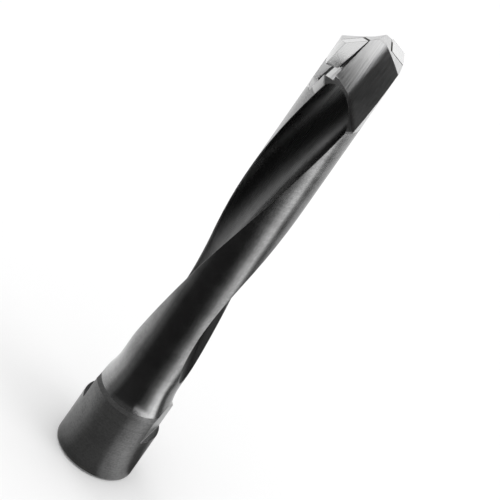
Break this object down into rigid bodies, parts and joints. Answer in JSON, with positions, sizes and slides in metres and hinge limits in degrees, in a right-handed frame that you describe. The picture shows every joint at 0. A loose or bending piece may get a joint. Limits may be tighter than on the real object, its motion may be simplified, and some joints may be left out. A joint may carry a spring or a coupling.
{
  "type": "loose tenon joiner cutter",
  "caption": "Carbide tipped rotary cutter with helical flutes and a threaded collar that screws onto a joiner's spindle.",
  "frame": {"origin": "centre of the collar's flat end", "axes": "+Z along the cutter's axis from the collar to the tip, +X across the axis to the right as seen from the front at -Y"},
  "size_m": [0.0175, 0.0174, 0.1245],
  "materials": {
    "ground_steel": "dark ground and polished tool steel",
    "carbide": "fine ground cemented carbide",
    "braze": "dull silver solder, darkened by heat"
  },
  "bodies": {
    "root": {"cutter_body": "ground_steel", "carbide_tip_1": "carbide", "carbide_tip_2": "carbide", "braze_1": "braze", "braze_2": "braze"}
  },
  "joints": []
}
